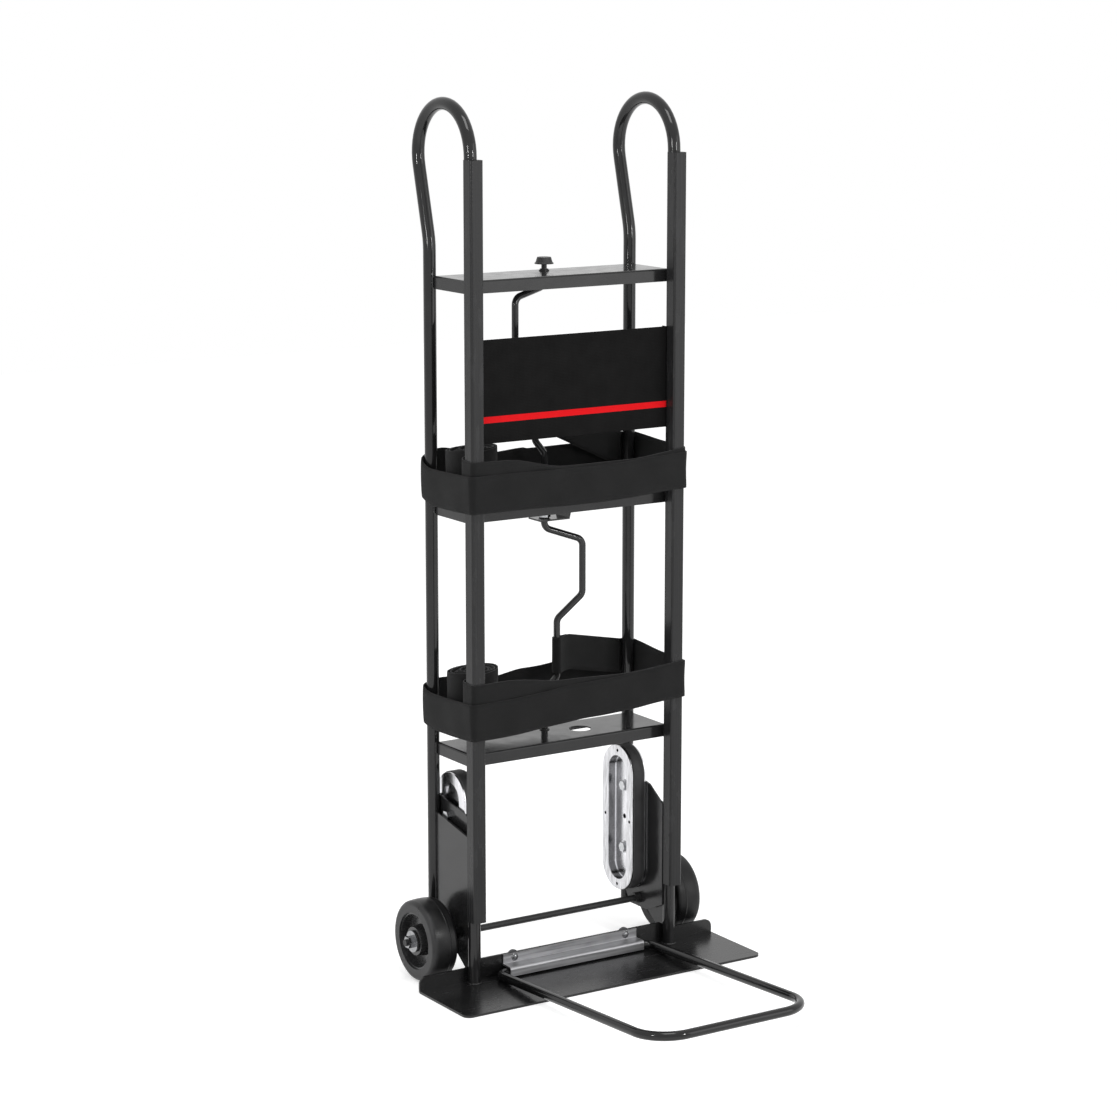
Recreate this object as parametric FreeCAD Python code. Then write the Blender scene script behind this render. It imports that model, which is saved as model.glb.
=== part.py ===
import FreeCAD, Part
import math
import os

# Appliance hand truck. Millimetres: X to the right, Y rearwards, Z up from the floor.
# The origin lies on the floor, midway between the front legs.

# Side frames
overall_height = 1524.0
rail_spacing = 410.0
leg_depth = 135.0
tube_diameter = 22.0
tube_wall = 1.8
loop_radius = 85.0
rear_bend_drop = 244.0
rear_bend_radius = 120.0
rear_leg_foot = 50.0

# Rail guards
guard_width = 25.0
guard_nose = 21.5
guard_grip = 2.0
guard_wall = 1.6
guard_corner = 4.0
guard_bottom = 117.0
guard_top_drop = 100.0
guard_clearance = 0.1

# Cross plates, each at its share of the overall height
top_plate_share = 0.802
middle_plate_share = 0.547
lower_plate_share = 0.2684
plate_sheet = 2.5
plate_flange = 22.0
plate_rear_flange = 17.0
plate_bend = 4.0
plate_hole_diameter = 40.0
plate_hole_x = 57.0

# Front panel
panel_lift = 114.0
panel_height = 176.0
panel_sheet = 2.0
panel_return = 13.0
panel_clearance = 0.2
panel_front = -1.0
rivet_diameter = 5.0
rivet_head_diameter = 9.0
rivet_head_height = 1.6
rivet_inset = 22.0
rivet_depth = 6.0

# Toe plate
toe_overhang = 26.0
toe_reach = 143.0
toe_thickness = 4.0
toe_corner = 14.0
toe_bend = 5.0
lip_height = 41.0
lip_end_height = 29.0
lip_end_corner = 14.0
lip_standoff = 1.0

# Toe extension and its hinge bracket
bar_diameter = 16.0
bar_arm_spacing = 321.0
bar_reach = 486.0
bar_rise = 3.0
bar_rear_bend = 19.0
bar_front_bend = 62.0
bar_engagement = 70.0
bar_floor_gap = 0.4
hinge_clearance = 0.6
hinge_end_gap = 1.0
bracket_sheet = 3.0
bracket_nose = 16.0
bracket_lip_gap = 3.5
bracket_top = 40.5
bracket_bend = 5.0
bracket_crease = 1.0
hinge_bolt_inset = 23.5
hinge_bolt_height = 32.5
hinge_bolt_diameter = 6.0
hinge_bolt_head = 13.5
hinge_bolt_head_height = 3.3
hinge_washer_diameter = 24.0
hinge_washer_thickness = 2.0
hinge_nut_flats = 10.0
hinge_nut_height = 5.0

# Wheels and axle
wheel_diameter = 144.0
wheel_width = 50.0
wheel_gap = 27.0
tyre_seat_diameter = 100.0
tyre_shoulder = 8.0
tyre_crown = 1.2
hub_rim_inset = 3.0
hub_rim_thickness = 3.0
hub_web_thickness = 14.0
hub_boss_diameter = 56.0
hub_boss_inset = 1.0
hub_draft = 3.0
axle_y = 77.0
axle_diameter = 12.0
axle_overhang = 4.0
bush_wall = 4.0
bush_length = 18.0
bush_flange_diameter = 26.0
bush_flange_thickness = 2.0
running_clearance = 0.05
wheel_end_play = 0.3
axle_washer_diameter = 38.0
axle_washer_thickness = 2.5
axle_nut_flats = 19.0
axle_nut_height = 10.0
axle_spacer_diameter = 20.0
axle_boss_length = 10.0

# Gussets and climber plates
gusset_thickness = 4.0
gusset_top_front = 260.0
gusset_top_rear = 283.0
gusset_bottom = 54.0
gusset_foot_y = 70.0
gusset_toe_bottom = 16.0
gusset_lip_gap = 0.3
climber_plate_thickness = 3.0
climber_plate_drop = 28.0
climber_plate_cover = 13.5
climber_plate_shoulder_y = 44.0
climber_plate_rise = 18.0
climber_plate_front_bottom = 77.0
climber_plate_rear_bottom = 105.0
climber_plate_bottom = 56.0
climber_plate_foot_half = 26.0
climber_plate_overlap = 4.0
climber_plate_gap = 0.3

# Stair climbers
shoe_width = 96.0
shoe_headroom = 31.0
shoe_thickness = 29.5
shoe_inset = 33.0
shoe_standoff = 0.5
shoe_bottom = 87.0
shoe_edge = 1.0
shoe_rim = 19.0
shoe_flange = 3.0
shoe_recess_depth = 16.0
shoe_back_recess_depth = 6.0
shoe_web_hole_diameter = 9.0
rim_hole_diameter = 6.0
rim_hole_depth = 6.0
belt_thickness = 5.0
belt_stand = 1.5
belt_bevel = 1.2
belt_clearance = 0.3
climber_spacer_diameter = 18.0
climber_bolt_share = 0.43
climber_bolt_diameter = 10.0
climber_bolt_flats = 16.0
climber_bolt_head = 6.5
climber_bolt_flange = 22.0
climber_bolt_flange_thickness = 1.5
climber_nut_height = 8.0
bolt_hole_clearance = 0.2

# Strap cranks
crank_inset = 40.0
crank_diameter = 12.0
crank_bend = 15.0
crank_throw = 70.0
crank_strap_throw = 23.0
upper_crank_neck = 26.0
lower_crank_neck = 18.0
crank_grip_drop = 42.0
crank_grip_bottom_share = 0.634
crank_strap_top_share = 0.521
crank_strap_bottom_share = 0.247
crank_return_share = 0.183
crank_tail = 14.0
crank_upper_angle = 192.3
crank_lower_angle = -15.6
crank_bush_wall = 1.5
crank_bush_flange_diameter = 18.0
crank_bush_flange_thickness = 1.5
crank_bush_tail = 3.0
crank_head_play = 0.2
knob_collar_diameter = 15.0
knob_collar_height = 2.0
knob_stem_diameter = 9.5
knob_stem_height = 8.5
knob_lip_diameter = 33.0
knob_lip_thickness = 1.5
knob_skirt_diameter = 29.5
knob_skirt_start = 3.0
knob_top_diameter = 24.0
knob_height = 11.5
knob_stud_diameter = 6.0
knob_stud_length = 16.0
crank_nut_flats = 19.0
crank_nut_height = 10.0
crank_nut_overhang = 3.0
hanger_sheet = 3.0
hanger_drop = 44.0
hanger_width = 40.0
hanger_lip_left = 20.0
hanger_lip_right = 40.0
hanger_web_run = 10.0
hanger_flange = 28.0

# Straps
strap_width = 64.0
strap_thickness = 2.4
strap_laps = 2
strap_clearance = 0.3
strap_corner = 5.0
upper_strap_lift = 8.0
lower_strap_lift = 47.0
strap_tail_lift = 16.0
strap_eye_lift = 8.0
strap_eye_clearance = 0.3
strap_sweep_radius = 34.0
strap_tail_gap = 1.0
strap_tail_landing = 8.0
roll_half_turns = 15
roll_pitch = 5.2
roll_inner_radius = 10.0
roll_lift = 25.0

# Values that follow from the driving dimensions
top_plate_height = overall_height * top_plate_share
middle_plate_height = overall_height * middle_plate_share
lower_plate_height = overall_height * lower_plate_share
rear_bend_height = overall_height - rear_bend_drop
guard_top = overall_height - guard_top_drop
panel_bottom = middle_plate_height + panel_lift
panel_top = panel_bottom + panel_height
upper_strap_bottom = middle_plate_height + upper_strap_lift
lower_strap_bottom = lower_plate_height + lower_strap_lift
rail_x = rail_spacing / 2
tube_radius = tube_diameter / 2
axle_radius = axle_diameter / 2
axle_z = wheel_diameter / 2
crank_radius = crank_diameter / 2
bar_radius = bar_diameter / 2
lip_front = tube_radius + lip_standoff
lip_rear = lip_front + toe_thickness
hinge_z = toe_thickness + bar_radius + bar_floor_gap
hood_ceiling = hinge_z + bar_radius + hinge_clearance
climber_plate_outer = rail_x - tube_radius
climber_plate_inner = climber_plate_outer - climber_plate_thickness
shoe_outer = climber_plate_inner - shoe_standoff
shoe_inner = shoe_outer - shoe_thickness
shoe_height = lower_plate_height - plate_flange - shoe_headroom - shoe_bottom
shoe_middle_z = shoe_bottom + shoe_height / 2
shoe_y = leg_depth - shoe_inset
crank_y = leg_depth - crank_inset
shoe_recess_width = shoe_width - 2 * shoe_rim
shoe_recess_height = shoe_height - 2 * shoe_rim
climber_bolt_spacing = shoe_height * climber_bolt_share
climber_plate_shoulder = shoe_middle_z + climber_bolt_spacing / 2 + climber_plate_cover
climber_plate_top_front = climber_plate_shoulder - climber_plate_drop
climber_plate_top_rear = climber_plate_shoulder + climber_plate_rise
wheel_inner_face = rail_x + wheel_gap
wheel_outer_face = wheel_inner_face + wheel_width
toe_width = 2 * (wheel_outer_face + toe_overhang)
hinge_half_length = bar_arm_spacing / 2 - bar_rear_bend - hinge_end_gap
hinge_bolt_spacing = 2 * (hinge_half_length - hinge_bolt_inset)
bar_tongue = hinge_half_length - bar_engagement
strap_loop_thickness = strap_laps * strap_thickness
hanger_lip_top = middle_plate_height - plate_sheet - hanger_drop + hanger_sheet

V = FreeCAD.Vector
X_AXIS = V(1, 0, 0)
Y_AXIS = V(0, 1, 0)
Z_AXIS = V(0, 0, 1)


def box(low, high):
    """Block between two opposite corners."""
    return Part.makeBox(high[0] - low[0], high[1] - low[1], high[2] - low[2], V(*low))


def rod(start, axis, length, radius):
    """Round bar from a point along an axis."""
    return Part.makeCylinder(radius, length, start, axis)


def ring(start, axis, length, outer, inner):
    """Round tube from a point along an axis."""
    return rod(start, axis, length, outer).cut(rod(start, axis, length, inner))


def prism(points, sweep):
    """Straight extrusion of a closed outline."""
    return Part.Face(Part.makePolygon(points + points[:1])).extrude(sweep)


def hexagon(centre, axis, flats, height):
    """Six-sided nut blank or bolt head standing on a point of its axis."""
    side = Y_AXIS if abs(axis.y) < 0.5 else X_AXIS
    other = axis.cross(side)
    reach = flats / math.sqrt(3)
    points = []
    for corner in range(6):
        turn = math.radians(60 * corner)
        points.append(centre + side * (reach * math.cos(turn)) + other * (reach * math.sin(turn)))
    return prism(points, axis * height)


def rounded_edges(points, radii):
    """Straight runs through the points, joined by tangent arcs at the inner points."""
    edges = []
    start = points[0]
    for before, corner, after, radius in zip(points, points[1:], points[2:], radii):
        back = (before - corner).normalize()
        ahead = (after - corner).normalize()
        half_turn = (math.pi - back.getAngle(ahead)) / 2
        tangent = radius * math.tan(half_turn)
        inward = (back + ahead).normalize()
        middle = corner + inward * (radius / math.cos(half_turn) - radius)
        first = corner + back * tangent
        last = corner + ahead * tangent
        edges.append(Part.LineSegment(start, first).toShape())
        edges.append(Part.Arc(first, middle, last).toShape())
        start = last
    edges.append(Part.LineSegment(start, points[-1]).toShape())
    return edges


def pipe(edges, start, direction, radius):
    """Round bar swept along a chain of tangent edges."""
    section = Part.Wire(Part.makeCircle(radius, start, direction))
    return Part.Wire(edges).makePipeShell([section], True, False)


def stadium(y, z, width, height, x_start, x_end):
    """Upright oblong with round ends, extruded along X."""
    half = width / 2
    straight = height / 2 - half
    top_left = V(x_start, y - half, z + straight)
    top_right = V(x_start, y + half, z + straight)
    low_left = V(x_start, y - half, z - straight)
    low_right = V(x_start, y + half, z - straight)
    edges = [
        Part.LineSegment(low_left, top_left).toShape(),
        Part.Arc(top_left, V(x_start, y, z + height / 2), top_right).toShape(),
        Part.LineSegment(top_right, low_right).toShape(),
        Part.Arc(low_right, V(x_start, y, z - height / 2), low_left).toShape(),
    ]
    return Part.Face(Part.Wire(edges)).extrude(V(x_end - x_start, 0, 0))


def edges_along(shape, axis, test):
    """Straight edges along an axis whose middle point passes the test."""
    found = []
    for edge in shape.Edges:
        if not isinstance(edge.Curve, (Part.Line, Part.LineSegment)):
            continue
        along = edge.Vertexes[-1].Point - edge.Vertexes[0].Point
        if along.Length > 0 and abs(abs(along.normalize().dot(axis)) - 1) < 1e-6 and test(edge.CenterOfMass):
            found.append(edge)
    return found


def mirrored(shape):
    """The same piece on the other side of the truck."""
    return shape.mirror(V(0, 0, 0), X_AXIS)


def group(solids):
    """Like pieces that share one node."""
    return Part.makeCompound(solids)


def near(value, target):
    return abs(value - target) < 1e-3


# Side frame: one tube, up the front, round the handle loop and down the rear

def side_tube():
    loop_z = overall_height - tube_radius - loop_radius
    run_y = leg_depth - loop_radius
    run_z = loop_z - rear_bend_height
    lean = math.asin(loop_radius / math.hypot(run_y, run_z)) - math.atan2(run_y, run_z)
    middle_turn = (math.pi - lean) / 2

    def on_loop(turn):
        return V(rail_x, loop_radius + loop_radius * math.cos(turn), loop_z + loop_radius * math.sin(turn))

    foot = V(rail_x, 0, toe_thickness)
    loop_start = V(rail_x, 0, loop_z)
    loop_end = on_loop(-lean)
    edges = [
        Part.LineSegment(foot, loop_start).toShape(),
        Part.Arc(loop_start, on_loop(middle_turn), loop_end).toShape(),
    ]
    bend = V(rail_x, leg_depth, rear_bend_height)
    rear_foot = V(rail_x, leg_depth, rear_leg_foot)
    edges += rounded_edges([loop_end, bend, rear_foot], [rear_bend_radius])
    outside = pipe(edges, foot, Z_AXIS, tube_radius)
    inside = pipe(edges, foot, Z_AXIS, tube_radius - tube_wall)
    return outside.cut(inside)


# Rail guard: hollow bumper strip with a round seat that clips over the front leg

def rail_guard():
    half = guard_width / 2
    length = guard_top - guard_bottom
    strip = box((rail_x - half, -guard_nose, guard_bottom), (rail_x + half, guard_grip, guard_top))
    strip = strip.makeFillet(guard_corner, edges_along(strip, Z_AXIS, lambda p: near(p.y, -guard_nose)))
    seat_radius = tube_radius + guard_clearance
    seat = rod(V(rail_x, 0, guard_bottom), Z_AXIS, length, seat_radius)
    chamber = box(
        (rail_x - half + guard_wall, guard_wall - guard_nose, guard_bottom),
        (rail_x + half - guard_wall, -seat_radius - guard_wall, guard_top),
    )
    chamber_corner = guard_corner - guard_wall
    chamber = chamber.makeFillet(chamber_corner, edges_along(chamber, Z_AXIS, lambda p: True))
    return strip.cut(seat).cut(chamber)


# Cross plates: pressed trays, open side down, between the front and rear legs

def cross_plate(height, holes):
    front = tube_radius
    rear = leg_depth - tube_radius
    tray = box((-rail_x, front, height - plate_flange), (rail_x, rear, height))
    tray = tray.makeFillet(
        plate_bend,
        edges_along(tray, X_AXIS, lambda p: near(p.z, height))
        + edges_along(tray, Y_AXIS, lambda p: near(p.z, height)),
    )
    hollow = box(
        (plate_sheet - rail_x, front + plate_sheet, height - plate_flange),
        (rail_x - plate_sheet, rear - plate_sheet, height - plate_sheet),
    )
    hollow_top = height - plate_sheet
    hollow = hollow.makeFillet(
        plate_bend - plate_sheet,
        edges_along(hollow, X_AXIS, lambda p: near(p.z, hollow_top))
        + edges_along(hollow, Y_AXIS, lambda p: near(p.z, hollow_top)),
    )
    tray = tray.cut(hollow)
    rear_trim = box(
        (-rail_x, rear - plate_sheet, height - plate_flange),
        (rail_x, rear, height - plate_rear_flange),
    )
    tray = tray.cut(rear_trim)
    for x, y, radius in holes:
        tray = tray.cut(rod(V(x, y, height - plate_flange), Z_AXIS, plate_flange, radius))
    return tray


# Front panel: thin board with its side edges folded back, riveted to the front legs

def panel_half_width():
    return rail_x - guard_width / 2 - panel_clearance


def rivet_places():
    for side in (-1, 1):
        for z in (panel_bottom + rivet_inset, panel_top - rivet_inset):
            yield side, z


def front_panel():
    half = panel_half_width()
    back = panel_front + panel_return
    board = box((-half, panel_front, panel_bottom), (half, back, panel_top))
    board = board.makeFillet(panel_sheet, edges_along(board, Z_AXIS, lambda p: near(p.y, panel_front)))
    hollow = box(
        (panel_sheet - half, panel_front + panel_sheet, panel_bottom),
        (half - panel_sheet, back, panel_top),
    )
    board = board.cut(hollow)
    for side, z in rivet_places():
        start = V(side * (half - panel_sheet), rivet_depth, z)
        hole = rod(start, X_AXIS * side, panel_sheet, rivet_diameter / 2)
        board = board.cut(hole)
    return board


def panel_rivets():
    half = panel_half_width()
    shank_radius = rivet_diameter / 2
    # The shank stops where its nearest edge meets the round leg.
    nearest = rivet_depth - shank_radius
    leg_face = rail_x - math.sqrt(tube_radius ** 2 - nearest ** 2)
    rivets = []
    for side, z in rivet_places():
        head_start = V(side * (half - panel_sheet), rivet_depth, z)
        head = rod(head_start, X_AXIS * -side, rivet_head_height, rivet_head_diameter / 2)
        shank = rod(head_start, X_AXIS * side, leg_face - half + panel_sheet, shank_radius)
        rivets.append(head.fuse(shank).removeSplitter())
    return group(rivets)


# Toe plate: flat load plate whose rear edge is turned up into a lip

def hinge_bolt_places():
    return (-hinge_bolt_spacing / 2, hinge_bolt_spacing / 2)


def toe_plate():
    half = toe_width / 2
    plate = box((-half, -toe_reach, 0), (half, lip_rear, toe_thickness))
    plate = plate.makeFillet(toe_corner, edges_along(plate, Z_AXIS, lambda p: near(p.y, -toe_reach)))
    outer_step = rail_x + tube_radius
    inner_step = rail_x - tube_radius
    outline = [
        V(-half, lip_front, 0),
        V(-half, lip_front, lip_end_height),
        V(-outer_step, lip_front, lip_end_height),
        V(-inner_step, lip_front, lip_height),
        V(inner_step, lip_front, lip_height),
        V(outer_step, lip_front, lip_end_height),
        V(half, lip_front, lip_end_height),
        V(half, lip_front, 0),
    ]
    lip = prism(outline, V(0, toe_thickness, 0))
    lip = lip.makeFillet(
        lip_end_corner,
        edges_along(lip, Y_AXIS, lambda p: near(abs(p.x), half) and near(p.z, lip_end_height)),
    )
    bent = plate.fuse(lip).removeSplitter()
    heel = edges_along(bent, X_AXIS, lambda p: near(p.z, 0) and near(p.y, lip_rear))
    bent = bent.makeFillet(toe_bend, heel)
    for x in hinge_bolt_places():
        hole = rod(V(x, lip_front, hinge_bolt_height), Y_AXIS, toe_thickness,
                   hinge_bolt_diameter / 2 + bolt_hole_clearance)
        bent = bent.cut(hole)
    return bent


# Hinge bracket: folded hood on the lip that traps the turned-in ends of the toe extension

def hinge_y():
    """Depth of the hinge axis: the bar runs clear of the hood's front wall."""
    return bracket_sheet + bar_radius + hinge_clearance - bracket_nose


def hinge_bracket():
    flange_front = lip_front - bracket_sheet
    hood_top = hood_ceiling + bracket_sheet
    hood_foot = toe_thickness + bracket_lip_gap
    wall_back = bracket_sheet - bracket_nose
    outline = [
        V(0, -bracket_nose, hood_foot),
        V(0, -bracket_nose, hood_top),
        V(0, flange_front, hood_top),
        V(0, flange_front, bracket_top),
        V(0, lip_front, bracket_top),
        V(0, lip_front, hood_ceiling),
        V(0, wall_back, hood_ceiling),
        V(0, wall_back, hood_foot),
    ]
    half = hinge_half_length
    bracket = prism(outline, V(2 * half, 0, 0))
    bracket.translate(V(-half, 0, 0))
    for radius, depth in ((bracket_bend, -bracket_nose), (bracket_crease, flange_front)):
        folds = edges_along(bracket, X_AXIS, lambda p: near(p.y, depth) and near(p.z, hood_top))
        bracket = bracket.makeFillet(radius, folds)
    for x in hinge_bolt_places():
        hole = rod(V(x, flange_front, hinge_bolt_height), Y_AXIS, bracket_sheet,
                   hinge_bolt_diameter / 2 + bolt_hole_clearance)
        bracket = bracket.cut(hole)
    return bracket


def hinge_bolts():
    bolts = []
    face = lip_front - bracket_sheet
    grip = bracket_sheet + toe_thickness + hinge_washer_thickness + hinge_nut_height
    shank_radius = hinge_bolt_diameter / 2
    head_radius = hinge_bolt_head / 2
    # The low round head is a cap cut from a ball.
    ball = (head_radius ** 2 + hinge_bolt_head_height ** 2) / (2 * hinge_bolt_head_height)
    for x in hinge_bolt_places():
        seat = V(x, face, hinge_bolt_height)
        cap = Part.makeSphere(ball, seat + Y_AXIS * (ball - hinge_bolt_head_height))
        cap = cap.common(rod(seat, Y_AXIS * -1, hinge_bolt_head_height, head_radius))
        bolts.append(cap.fuse(rod(seat, Y_AXIS, grip, shank_radius)).removeSplitter())
    return group(bolts)


def hinge_washers():
    return group([
        ring(V(x, lip_rear, hinge_bolt_height), Y_AXIS, hinge_washer_thickness,
             hinge_washer_diameter / 2, hinge_bolt_diameter / 2 + bolt_hole_clearance)
        for x in hinge_bolt_places()
    ])


def hinge_nuts():
    nuts = []
    for x in hinge_bolt_places():
        seat = V(x, lip_rear + hinge_washer_thickness, hinge_bolt_height)
        blank = hexagon(seat, Y_AXIS, hinge_nut_flats, hinge_nut_height)
        bore = rod(seat, Y_AXIS, hinge_nut_height, hinge_bolt_diameter / 2 + running_clearance)
        nuts.append(blank.cut(bore))
    return group(nuts)


# Toe extension: round bar bent into a U, its ends turned in under the bracket

def toe_extension_bar():
    arm = bar_arm_spacing / 2
    rise = math.radians(bar_rise)
    ahead = V(0, -math.cos(rise), math.sin(rise)) * bar_reach
    axis_point = V(0, hinge_y(), hinge_z)
    left = axis_point - X_AXIS * arm
    right = axis_point + X_AXIS * arm
    start = axis_point - X_AXIS * bar_tongue
    end = axis_point + X_AXIS * bar_tongue
    edges = rounded_edges(
        [start, left, left + ahead, right + ahead, right, end],
        [bar_rear_bend, bar_front_bend, bar_front_bend, bar_rear_bend],
    )
    return pipe(edges, start, X_AXIS, bar_radius)


# Gusset and climber plate: the two upright plates that carry the axle on each side

def axle_hole():
    start = V(0, axle_y, axle_z)
    return rod(start, X_AXIS, wheel_inner_face, axle_radius + running_clearance)


def side_gusset():
    x = rail_x - gusset_thickness / 2
    front = tube_radius
    rear = leg_depth - tube_radius
    behind_lip = lip_rear + gusset_lip_gap
    over_lip = lip_height + gusset_lip_gap
    outline = [
        V(x, front, over_lip),
        V(x, front, gusset_top_front),
        V(x, rear, gusset_top_rear),
        V(x, rear, gusset_bottom),
        V(x, gusset_foot_y, gusset_bottom),
        V(x, behind_lip, gusset_toe_bottom),
        V(x, behind_lip, over_lip),
    ]
    return prism(outline, V(gusset_thickness, 0, 0)).cut(axle_hole())


def climber_bolt_places():
    for side in (-1, 1):
        yield V(0, shoe_y, shoe_middle_z + side * climber_bolt_spacing / 2)


def climber_plate():
    x = climber_plate_inner
    front = guard_grip + climber_plate_gap
    rear = leg_depth + climber_plate_overlap
    outline = [
        V(x, front, climber_plate_front_bottom),
        V(x, front, climber_plate_top_front),
        V(x, climber_plate_shoulder_y, climber_plate_shoulder),
        V(x, rear, climber_plate_top_rear),
        V(x, rear, climber_plate_rear_bottom),
        V(x, axle_y + climber_plate_foot_half, climber_plate_bottom),
        V(x, axle_y - climber_plate_foot_half, climber_plate_bottom),
    ]
    plate = prism(outline, V(climber_plate_thickness, 0, 0)).cut(axle_hole())
    for place in climber_bolt_places():
        plate = plate.cut(rod(place, X_AXIS, rail_x, climber_bolt_diameter / 2 + bolt_hole_clearance))
    return plate


# Stair climber: oblong cast shoe with a rubber belt that slides round its rim

def belt_channel():
    """Start and end across the shoe of the channel that the belt runs in."""
    return shoe_inner + shoe_flange, shoe_outer - shoe_flange


def climber_shoe():
    shoe = stadium(shoe_y, shoe_middle_z, shoe_width, shoe_height, shoe_inner, shoe_outer)
    rim_edges = [edge for edge in shoe.Edges if near(edge.BoundBox.XMin, edge.BoundBox.XMax)]
    shoe = shoe.makeFillet(shoe_edge, rim_edges)
    start, end = belt_channel()
    sunk = 2 * (belt_thickness + belt_clearance - belt_stand)
    margin = 2 * belt_thickness
    channel = stadium(shoe_y, shoe_middle_z, shoe_width + margin, shoe_height + margin, start, end)
    shoe = shoe.cut(channel.cut(
        stadium(shoe_y, shoe_middle_z, shoe_width - sunk, shoe_height - sunk, start, end)))
    recesses = (
        (shoe_inner, shoe_recess_depth),
        (shoe_outer - shoe_back_recess_depth, shoe_back_recess_depth),
    )
    for start, depth in recesses:
        shoe = shoe.cut(stadium(shoe_y, shoe_middle_z, shoe_recess_width, shoe_recess_height,
                                start, start + depth))
    rim_y = (shoe_width + shoe_recess_width) / 4
    rim_z = (shoe_height + shoe_recess_height) / 4
    for y, z in ((0, rim_z), (0, -rim_z), (rim_y, 0), (-rim_y, 0)):
        start = V(shoe_inner, shoe_y + y, shoe_middle_z + z)
        shoe = shoe.cut(rod(start, X_AXIS, rim_hole_depth, rim_hole_diameter / 2))
    for place in climber_bolt_places():
        shoe = shoe.cut(rod(place, X_AXIS, rail_x, climber_bolt_diameter / 2 + bolt_hole_clearance))
    return shoe.cut(rod(V(0, shoe_y, shoe_middle_z), X_AXIS, rail_x, shoe_web_hole_diameter / 2))


def climber_belt():
    start, end = belt_channel()
    start, end = start + belt_clearance, end - belt_clearance
    outer = 2 * belt_stand
    inner = outer - 2 * belt_thickness
    outside = stadium(shoe_y, shoe_middle_z, shoe_width + outer, shoe_height + outer, start, end)
    side_edges = [edge for edge in outside.Edges if near(edge.BoundBox.XMin, edge.BoundBox.XMax)]
    outside = outside.makeChamfer(belt_bevel, side_edges)
    inside = stadium(shoe_y, shoe_middle_z, shoe_width + inner, shoe_height + inner, start, end)
    return outside.cut(inside)


def climber_bolts():
    bolts = []
    seat_x = shoe_inner + shoe_recess_depth
    length = climber_plate_outer + climber_nut_height - seat_x
    for place in climber_bolt_places():
        seat = place + X_AXIS * seat_x
        head = hexagon(seat - X_AXIS * climber_bolt_head, X_AXIS, climber_bolt_flats, climber_bolt_head)
        flange = rod(seat, X_AXIS * -1, climber_bolt_flange_thickness, climber_bolt_flange / 2)
        shank = rod(seat, X_AXIS, length, climber_bolt_diameter / 2)
        bolts.append(head.fuse([flange, shank]).removeSplitter())
    return group(bolts + [mirrored(bolt) for bolt in bolts])


def climber_spacers():
    spacers = []
    # The spacer starts on the floor of the shoe's back recess.
    start_x = shoe_outer - shoe_back_recess_depth
    for place in climber_bolt_places():
        spacers.append(ring(place + X_AXIS * start_x, X_AXIS, climber_plate_inner - start_x,
                            climber_spacer_diameter / 2, climber_bolt_diameter / 2 + bolt_hole_clearance))
    return group(spacers + [mirrored(spacer) for spacer in spacers])


def climber_nuts():
    nuts = []
    for place in climber_bolt_places():
        seat = place + X_AXIS * climber_plate_outer
        blank = hexagon(seat, X_AXIS, climber_bolt_flats, climber_nut_height)
        thread = rod(seat, X_AXIS, climber_nut_height, climber_bolt_diameter / 2 + running_clearance)
        nuts.append(blank.cut(thread))
    return group(nuts + [mirrored(nut) for nut in nuts])


# Axle: one rod right through both sides, with what is threaded on it

def on_axle(x):
    return V(x, axle_y, axle_z)


def bush_outer_end():
    return wheel_outer_face - hub_boss_inset + bush_flange_thickness


def bush_inner_end():
    return wheel_inner_face + hub_boss_inset - bush_flange_thickness


def outer_washer_start():
    return bush_outer_end() + wheel_end_play


def inner_washer_start():
    return bush_inner_end() - wheel_end_play - axle_washer_thickness


def axle_nut_start():
    return outer_washer_start() + axle_washer_thickness


def axle():
    end = axle_nut_start() + axle_nut_height + axle_overhang
    return rod(on_axle(-end), X_AXIS, 2 * end, axle_radius)


def axle_bosses():
    boss = ring(on_axle(climber_plate_inner - axle_boss_length), X_AXIS, axle_boss_length,
                axle_spacer_diameter / 2, axle_radius + running_clearance)
    return group([boss, mirrored(boss)])


def axle_spacers():
    start = rail_x + gusset_thickness / 2
    spacer = ring(on_axle(start), X_AXIS, inner_washer_start() - start,
                  axle_spacer_diameter / 2, axle_radius + running_clearance)
    return group([spacer, mirrored(spacer)])


def axle_washers():
    washers = [
        ring(on_axle(start), X_AXIS, axle_washer_thickness, diameter / 2, axle_radius + running_clearance)
        for start, diameter in (
            (inner_washer_start(), bush_flange_diameter),
            (outer_washer_start(), axle_washer_diameter),
        )
    ]
    return group(washers + [mirrored(washer) for washer in washers])


def axle_nuts():
    seat = on_axle(axle_nut_start())
    blank = hexagon(seat, X_AXIS, axle_nut_flats, axle_nut_height)
    nut = blank.cut(rod(seat, X_AXIS, axle_nut_height, axle_radius + running_clearance))
    return group([nut, mirrored(nut)])


# Wheels: solid tyre on a recessed hub that turns on two flanged bushes

def turned(profile):
    """Revolve a closed outline of (x, radius) points about the axle."""
    points = [V(x, axle_y, axle_z + radius) for x, radius in profile]
    face = Part.Face(Part.makePolygon(points + points[:1]))
    return face.revolve(on_axle(0), X_AXIS, 360)


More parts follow.
